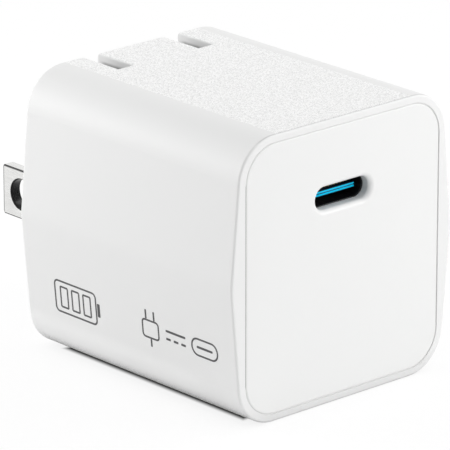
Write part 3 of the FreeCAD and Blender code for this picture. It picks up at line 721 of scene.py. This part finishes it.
# %% Dress the housing
def housing_colours(tree, x, y, z, sandy):
    """Satin and sandy white, with painted light low on the sides and painted shade on the underside, in the
    slots and along the rim.
    """
    # Painted light: the lower sides turn whiter.
    low = maths(tree, "MULTIPLY", ramp(tree, z, bottom_z + 6.0 * MM, bottom_z + 4.2 * MM),
                ramp(tree, y, cad_low.y + 2.0 * MM, cad_low.y + 11.0 * MM))
    satin = blend_colours(tree, low, (*satin_white, 1), (*painted_bounce_white, 1))
    colour = blend_colours(tree, sandy, satin, (*sandy_white, 1))
    # Painted shade: the underside turns greyer towards the floor.
    under = ramp(tree, z, bottom_z + 2.9 * MM, bottom_z + 1.2 * MM)
    colour = blend_colours(tree, under, colour, (*under_shade_white, 1))
    # Painted shade in the slot depths, then along the rim.
    colour = blend_colours(tree, slot_shade_depth(tree, x, y, z), colour, (*painted_shade_grey, 1))
    return blend_colours(tree, rim_shade_line(tree, y, z), colour, (*painted_shade_grey, 1))


def housing_finish():
    """Satin white, with sandy grain on the flat top and underside."""
    material, tree, shader = new_material("white_housing", satin_white, Specular_IOR_Level=0.5)
    x, y, z = position(tree)
    sandy = sandy_part(tree, x, y, z)
    coarse = grain(tree, 0.09)
    fine = grain(tree, 0.1)
    height = maths(tree, "ADD", maths(tree, "MULTIPLY", fine["Height"], 0.02),
                   maths(tree, "MULTIPLY", coarse["Height"], sandy))
    bump(tree, shader, height, 0.026)
    swing = maths(tree, "ADD", 0.004, maths(tree, "MULTIPLY", sandy, 0.36))
    colour = housing_colours(tree, x, y, z, sandy)
    feed(tree, shader.inputs["Base Color"], tinted(tree, colour, coarse["Tone"], swing))
    rough = maths(tree, "ADD", 0.42, maths(tree, "MULTIPLY", sandy, 0.24))
    feed(tree, shader.inputs["Roughness"],
         maths(tree, "ADD", rough, maths(tree, "MULTIPLY", fine["Tone"], 0.04)))
    return material


dress(housing_finish(), "housing")
print("housing done")

# %% Dress the front panel and the white mouldings
panel_white = (0.875, 0.877, 0.872)
# Painted shade: the grey of the wall of the port's mouth behind its rounded lip.
throat_shade_grey = (0.66, 0.66, 0.66)
# Painted shade: the grey of the panel's upright edges in their groove.
groove_shade_grey = (0.3, 0.3, 0.3)
throat_half_x = 6 * MM
throat_half_z = 3 * MM
panel_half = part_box("front_panel")[1].x


def within(tree, value, middle, half):
    """1 where value is nearer than half to the middle."""
    return maths(tree, "LESS_THAN", maths(tree, "ABSOLUTE", maths(tree, "SUBTRACT", value, middle)), half)


def panel_colours(tree):
    """The panel's white, with painted shade in the port's throat and on the panel's upright edges in their
    groove.
    """
    x, y, z = position(tree)
    throat = maths(tree, "MULTIPLY", within(tree, x, port_x, throat_half_x),
                   within(tree, z, port_z, throat_half_z))
    deep = ramp(tree, y, cad_low.y + 0.42 * MM, cad_low.y + 0.66 * MM)
    upper = ramp(tree, z, port_z - 1.25 * MM, port_z - 0.8 * MM)
    mask = maths(tree, "MULTIPLY", throat, maths(tree, "MULTIPLY", deep, upper))
    side = ramp(tree, maths(tree, "ABSOLUTE", x), panel_half - 0.05 * MM, panel_half - 0.01 * MM)
    colour = blend_colours(tree, mask, (*panel_white, 1), (*throat_shade_grey, 1))
    return blend_colours(tree, side, colour, (*groove_shade_grey, 1))


panel_finish = finish("white_panel", panel_white, 0.34, size=0.12, depth=0.0005, swing=0.005, gloss=0.04,
                      pattern=panel_colours)
dress(panel_finish, "front_panel")
dress(finish("white_moulding", (0.8, 0.8, 0.79), 0.45, size=0.2, depth=0.002, swing=0.03),
      "prong_carrier", "pivot_retainer")
wear(bead, finish("white_bead", satin_white, 0.45, size=0.1, depth=0.001, swing=0.02))
print("white plastic done")

# %% [markdown]
# ## The port
#
# The steel shell is coloured nearly black, so the port reads as a dark slot. The tongue is blue plastic.
# Only the flat front of its tip catches the light from outside and shows bright blue, so the tongue is
# painted nearly black behind the tip and on its bevels, as painted shade. The contacts are gold, and the
# printed figures are matte grey ink.

# %% Dress the port and the ink
tongue_blue = (0.0, 0.66, 1.0, 1)
# Painted shade: the near-black of the tongue behind its tip and on its bevels.
tongue_shade = (0.004, 0.02, 0.05, 1)
# The shell's steel is coloured nearly black.
dark_steel = finish("near_black_steel", (0.018, 0.018, 0.02), 0.42, size=0.15, depth=0.0006, swing=0.2,
                    gloss=0.12, stretch=(1, 0.1, 1), Metallic=0.6)
dress(dark_steel, "usb_shell")


def tongue_colours(tree):
    """Bright blue in the tip's front, and painted shade, nearly black, behind it and on the bevels."""
    x, y, z = position(tree)
    behind = ramp(tree, y, base_low.y + 0.1 * MM, base_low.y + 0.22 * MM)
    from_middle = maths(tree, "ABSOLUTE", maths(tree, "SUBTRACT", z, port_z))
    beside = ramp(tree, from_middle, 0.24 * MM, 0.28 * MM)
    return blend_colours(tree, maths(tree, "MAXIMUM", behind, beside), tongue_blue, tongue_shade)


# The plate's dark blue is painted shade in the tongue's groove.
wear(plate, finish("tongue_plate", (0.0, 0.05, 0.17), 0.5, size=0.1, depth=0.0005))
wear(port_tongue, finish("blue_insulator", (0.0, 0.6, 1.0), 0.5, size=0.1, depth=0.0008, swing=0.05,
                         pattern=tongue_colours, Specular_IOR_Level=0.12))
wear(port_contacts, finish("gold_plating", (0.55, 0.38, 0.12), 0.25, size=0.08, depth=0.0004,
                           stretch=(1, 0.1, 1), Metallic=1.0))
ink = finish("grey_ink", (0.085, 0.085, 0.088), 0.6, size=0.08, depth=0.002, swing=0.15, gloss=0.1)
for mark in marks:
    wear(mark, ink)
print("port and ink done")

# %% [markdown]
# ## Metal
#
# Nickel plating over brushed brass shows fine lines along the blade. The lines are the same grain, drawn out
# along the blade's length by a small stretch factor. The pressed edges and the wall of the hole are painted
# dark, as painted shade. The edges are found by their normals and by their distance from the blade's
# outline, and the hole by its radius. Springs, screws, pins and the copper sheet differ in colour, in how
# far the lines run, and in how dull they are.

# %% Dress the metal parts
along_y = (1, 0.06, 1)
along_x = (0.06, 1, 1)
along_z = (1, 1, 0.06)
bright_nickel = (0.76, 0.76, 0.75)
# Painted shade: the dark of the blade's pressed edges.
edge_shade = (0.03, 0.03, 0.03)
# Painted shade: the dark of the wall of the blade's hole.
hole_shade = (0.025, 0.025, 0.025)
blade_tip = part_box("left_blade")[1].y
blade_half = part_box("left_blade")[1].z
hole_y = blade_tip - hole_from_tip


def blade_colours(tree):
    """Bright nickel on the faces, with painted shade on the pressed edges and on the wall of the hole."""
    x, y, z = position(tree)
    normal = add(tree, "ShaderNodeNewGeometry").outputs["Normal"]
    facing = maths(tree, "ABSOLUTE", add(tree, "ShaderNodeSeparateXYZ", Vector=normal).outputs[0])
    edge = maths(tree, "MINIMUM", ramp(tree, facing, 0.985, 0.93), ramp(tree, facing, 0.1, 0.3))
    long_edges = ramp(tree, maths(tree, "ABSOLUTE", z), blade_half - 0.22 * MM, blade_half - 0.17 * MM)
    rim = maths(tree, "MAXIMUM", long_edges, ramp(tree, y, blade_tip - 0.62 * MM, blade_tip - 0.5 * MM))
    edge = maths(tree, "MAXIMUM", edge, maths(tree, "MULTIPLY", rim, ramp(tree, facing, 0.1, 0.3)))
    along = maths(tree, "SUBTRACT", y, hole_y)
    radius = maths(tree, "SQRT", maths(tree, "ADD", maths(tree, "MULTIPLY", along, along),
                                       maths(tree, "MULTIPLY", z, z)))
    hole = ramp(tree, radius, hole_radius + 0.06 * MM, hole_radius + 0.02 * MM)
    colour = blend_colours(tree, edge, (*bright_nickel, 1), (*edge_shade, 1))
    return blend_colours(tree, hole, colour, (*hole_shade, 1))


nickel = finish("nickel_plating", bright_nickel, 0.22, size=0.09, depth=0.0006, swing=0.08, gloss=0.12,
                stretch=along_y, pattern=blade_colours, Metallic=1.0)
for piece in blades:
    wear(piece, nickel)
dress(finish("spring_bronze", (0.66, 0.42, 0.2), 0.3, size=0.1, depth=0.0008, swing=0.15, stretch=along_z,
             Metallic=1.0), "detent_spring", "left_contact_spring", "right_contact_spring")
dress(finish("zinc_plated_steel", (0.6, 0.61, 0.62), 0.32, size=0.15, depth=0.001, swing=0.12, Metallic=1.0),
      "retainer_screws")
dress(finish("tinned_brass", (0.72, 0.71, 0.68), 0.35, size=0.2, depth=0.002, swing=0.1, Metallic=1.0),
      "board_pins")
dress(finish("copper_sheet", (0.72, 0.38, 0.24), 0.38, size=0.25, depth=0.001, swing=0.18, gloss=0.2,
             stretch=along_x, Metallic=1.0), "heat_spreader")
print("metal done")

# %% [markdown]
# ## Electronics
#
# None of this shows while the charger is closed, but it is there when it is taken apart. Most finishes are
# one call. A circuit board adds copper tracks under its green lacquer, made by a brick pattern whose
# mortar is the track. A capacitor's dark sleeve has a pale stripe and leaves the aluminium ends bare. Lying
# and upright capacitors share that effect, so it is a node group, which is told how far a point's normal
# leans along the capacitor's axis.

# %% Patterns for boards, cans and windings
def board_tracks(tree):
    """Green lacquer, lighter over the copper tracks."""
    coordinates = add(tree, "ShaderNodeTexCoord").outputs["Object"]
    tracks = add(tree, "ShaderNodeTexBrick", {"offset": 0.37, "squash": 0.6, "squash_frequency": 3},
                 Vector=coordinates, Scale=1.0, Mortar_Size=0.16 * MM, Mortar_Smooth=0.1,
                 Brick_Width=4.1 * MM, Row_Height=1.3 * MM)
    return blend_colours(tree, tracks.outputs["Fac"], (0.012, 0.1, 0.035, 1), (0.06, 0.24, 0.08, 1))


def sleeve_group():
    """A dark sleeve with a pale stripe at the side that Stripe gives, and bare ends where Along is 1."""
    group, given, result = new_group("can_sleeve", ["Along", "Stripe"], ["Colour out"])
    end = ramp(group, maths(group, "ABSOLUTE", given.outputs["Along"]), 0.9, 0.97)
    stripe = ramp(group, given.outputs["Stripe"], 0.86, 0.88)
    wrapped = blend_colours(group, stripe, (0.02, 0.024, 0.035, 1), (0.45, 0.46, 0.48, 1))
    feed(group, result.inputs["Colour out"], blend_colours(group, end, wrapped, (0.7, 0.71, 0.72, 1)))
    return group


sleeve_look = sleeve_group()


def can_sleeve(axis):
    """The sleeve's pattern for a capacitor that lies along this axis: 0 is X and 2 is Z."""
    def pattern(tree):
        normal = add(tree, "ShaderNodeNewGeometry").outputs["Normal"]
        facing = add(tree, "ShaderNodeSeparateXYZ", Vector=normal).outputs
        made = add(tree, "ShaderNodeGroup", {"node_tree": sleeve_look}, Along=facing[axis], Stripe=facing[1])
        return made.outputs[0]
    return pattern


def wire_turns(colour, pitch):
    """Turns of wire up the Z axis, with painted shade that darkens the colour in the grooves between them.
    """
    def pattern(tree):
        x, y, z = position(tree)
        wave = maths(tree, "SINE", maths(tree, "MULTIPLY", z, 2 * math.pi / (pitch * MM)))
        # Painted shade: the colour darkens in the grooves between the turns.
        dark = (colour[0] * 0.3, colour[1] * 0.3, colour[2] * 0.3, 1)
        return blend_colours(tree, ramp(tree, wave, -0.9, 0.2), dark, (*colour, 1))
    return pattern


print("patterns ready")

# %% Dress the boards and the wound parts
green = (0.02, 0.13, 0.05)
dress(finish("green_board", green, 0.35, size=0.4, swing=0.08, pattern=board_tracks),
      "main_board", "port_board")
dress(finish("ferrite", (0.035, 0.034, 0.036), 0.62, size=0.15, depth=0.006, swing=0.4, gloss=0.2),
      "transformer_core_lower", "transformer_core_upper", "choke_core")
dress(finish("black_phenolic", (0.02, 0.02, 0.02), 0.45, size=0.2, depth=0.002, swing=0.2),
      "transformer_spool", "choke_base")
dress(finish("taped_winding", (0.75, 0.5, 0.06), 0.3, size=0.4, depth=0.004, swing=0.1,
             pattern=wire_turns((0.75, 0.5, 0.06), 0.45)), "transformer_winding")
dress(finish("enamelled_wire", (0.6, 0.24, 0.08), 0.28, size=0.2, depth=0.002, swing=0.15, Metallic=0.8),
      "choke_winding")
dress(finish("yellow_tape", (0.8, 0.58, 0.05), 0.22, size=0.8, depth=0.01, swing=0.06), "transformer_tape")
print("boards and wound parts done")

# %% Dress the capacitors, the fuse, the chips and the sheets
sleeve = (0.02, 0.024, 0.035)
dress(finish("sleeve_lying", sleeve, 0.3, size=0.3, pattern=can_sleeve(0)),
      "bulk_capacitor_rear", "bulk_capacitor_front")
dress(finish("sleeve_upright", sleeve, 0.3, size=0.3, pattern=can_sleeve(2)), "bulk_capacitor_upright")
dress(finish("bare_aluminium", (0.72, 0.73, 0.74), 0.34, size=0.12, depth=0.0008, swing=0.08,
             stretch=along_y, Metallic=1.0), "output_capacitor_left", "output_capacitor_right")
dress(finish("blue_epoxy", (0.02, 0.12, 0.42), 0.28, size=0.9, depth=0.02, swing=0.12), "y_capacitor")
dress(finish("yellow_case", (0.82, 0.56, 0.05), 0.4, size=0.25, depth=0.003, swing=0.05), "x_capacitor")
dress(finish("brown_fuse_body", (0.13, 0.06, 0.03), 0.3, size=0.5, depth=0.004, swing=0.15), "fuse")
dress(finish("black_epoxy", (0.018, 0.018, 0.019), 0.55, size=0.12, depth=0.003, swing=0.25),
      "power_switch", "primary_controller", "bridge_rectifier", "optocoupler", "small_parts",
      "sync_rectifier", "pd_controller")
dress(finish("grey_silicone", (0.3, 0.33, 0.36), 0.75, size=0.3, depth=0.01, swing=0.2), "thermal_pad")
dress(finish("insulating_film", (0.75, 0.68, 0.45), 0.3, size=1.2, depth=0.006, swing=0.08),
      "insulating_sheet")
print("capacitors, chips and sheets done")

# %% [markdown]
# ## The room
#
# A white product on white needs its shape drawn by small differences of light. The room itself gives most
# of it: the world is pure white where the camera, a mirror or glass looks at it, and throws a plain grey
# fill on the charger. The floor shows white in the same way by a glow that only such rays see, and a dark
# patch under the charger takes the light from its lowest edges. Close round the foot the glow stops, a
# painted contact shadow that lets the floor's real shadow show as the dark line of contact.

# %% Lay the floor
floor = start("floor", bpy.ops.mesh.primitive_plane_add, size=6, location=(0, 0, bottom_z))


def seen_directly(tree):
    """1 for rays from the camera, a mirror or glass, and 0 for light on its way between surfaces."""
    path = add(tree, "ShaderNodeLightPath").outputs
    seen = maths(tree, "ADD", path["Is Camera Ray"], path["Is Glossy Ray"])
    return maths(tree, "MINIMUM", maths(tree, "ADD", seen, path["Is Transmission Ray"]), 1.0)


def grey(level):
    """A grey as a shader's colour."""
    return (level, level, level, 1)


floor_white = 0.85
floor_bounce = 0.93
floor_shade = 0.05
floor_material, floor_tree, floor_shader = new_material("white_floor", (0.95, 0.95, 0.95), Roughness=0.9,
                                                        Specular_IOR_Level=0.1)
shows = seen_directly(floor_tree)
floor_x, floor_y = position(floor_tree)[:2]
foot_half_x = 15.9 * MM
foot_half_y = -cad_low.y / 2
from_middle_y = maths(floor_tree, "ADD", floor_y, foot_half_y)
beside_x = maths(floor_tree, "SUBTRACT", maths(floor_tree, "ABSOLUTE", floor_x), foot_half_x)
beside_y = maths(floor_tree, "SUBTRACT", maths(floor_tree, "ABSOLUTE", from_middle_y), foot_half_y)
away = maths(floor_tree, "MAXIMUM", beside_x, beside_y)
rearward = maths(floor_tree, "MULTIPLY", ramp(floor_tree, floor_y, -32 * MM, -8 * MM), 0.6 * MM)
lit = ramp(floor_tree, maths(floor_tree, "ADD", away, rearward), -0.9 * MM, 1.2 * MM)
bounce = blend_colours(floor_tree, lit, grey(floor_shade), grey(floor_bounce))
feed(floor_tree, floor_shader.inputs["Base Color"],
     blend_colours(floor_tree, shows, bounce, grey(1 - floor_white)))
floor_shader.inputs["Emission Color"].default_value = (1, 1, 1, 1)
# Painted contact shadow: the glow stops close round the foot, where the floor's real shadow then shows.
glow = maths(floor_tree, "MULTIPLY", ramp(floor_tree, away, -3.4 * MM, -2.3 * MM), floor_white)
feed(floor_tree, floor_shader.inputs["Emission Strength"], maths(floor_tree, "MULTIPLY", shows, glow))
wear(floor, floor_material)

print("floor at", round(bottom_z / MM, 2), "mm")

# %% Light the world
world = bpy.data.worlds.new("white_room")
bpy.context.scene.world = world
world.use_nodes = True
sky = world.node_tree
fill_level = 0.605
feed(sky, sky.nodes["Background"].inputs["Color"],
     blend_colours(sky, seen_directly(sky), grey(fill_level), grey(1)))
print("fill level:", fill_level)

# %% [markdown]
# Four small soft boxes shape the fill. One in front on the right lifts the panel, and one high on the right
# evens the top out. Two stand behind on the left: the low one makes the side brighter towards the plug, and
# the high one draws the long highlight on the rounded upper corner. The camera doesn't see them.

# %% Hang the soft boxes
aim = Vector((-1.54, -18.7, 2.73)) * MM


def towards(azimuth, elevation):
    """The direction of a lamp or camera: azimuth 0 is in front and -90 on the left."""
    a, e = math.radians(azimuth), math.radians(elevation)
    return Vector((math.sin(a) * math.cos(e), -math.cos(a) * math.cos(e), math.sin(e)))


def softbox(name, azimuth, elevation, distance, side, watts):
    """A square lamp that faces the charger."""
    direction = towards(azimuth, elevation)
    bpy.ops.object.light_add(type="AREA", location=aim + direction * distance,
                             rotation=direction.to_track_quat("Z", "Y").to_euler())
    lamp = bpy.context.object
    lamp.name = name
    lamp.data.shape = "SQUARE"
    lamp.data.size = side
    lamp.data.energy = watts
    lamp.visible_camera = False
    return lamp


lamps = [
    softbox("front_right", 40, 14, 0.3, 0.15, 0.302),
    softbox("right_high", 75, 45, 0.3, 0.15, 0.158),
    softbox("rear_left_low", -145, 14, 0.25, 0.12, 0.182),
    softbox("rear_left_high", -145, 45, 0.25, 0.15, 0.085),
]
print("lamps:", [lamp.name for lamp in lamps])

# %% [markdown]
# ## The camera
#
# The camera stands in front on the left and a little above, with a long lens that keeps the charger's edges
# nearly parallel. These few values come from fitting the charger's known sizes to its outline, and need
# neither roll nor shift.

# %% Place the camera
camera_distance = 573 * MM
viewpoint = towards(-42.13, 18.99)
bpy.ops.object.camera_add(location=aim + viewpoint * camera_distance,
                          rotation=viewpoint.to_track_quat("Z", "Y").to_euler())
camera = bpy.context.object
camera.data.lens = 388.4
camera.data.clip_start = 10 * MM
bpy.context.scene.camera = camera
bpy.context.scene.view_settings.view_transform = "Standard"
print("camera at", camera.location / MM, "mm")
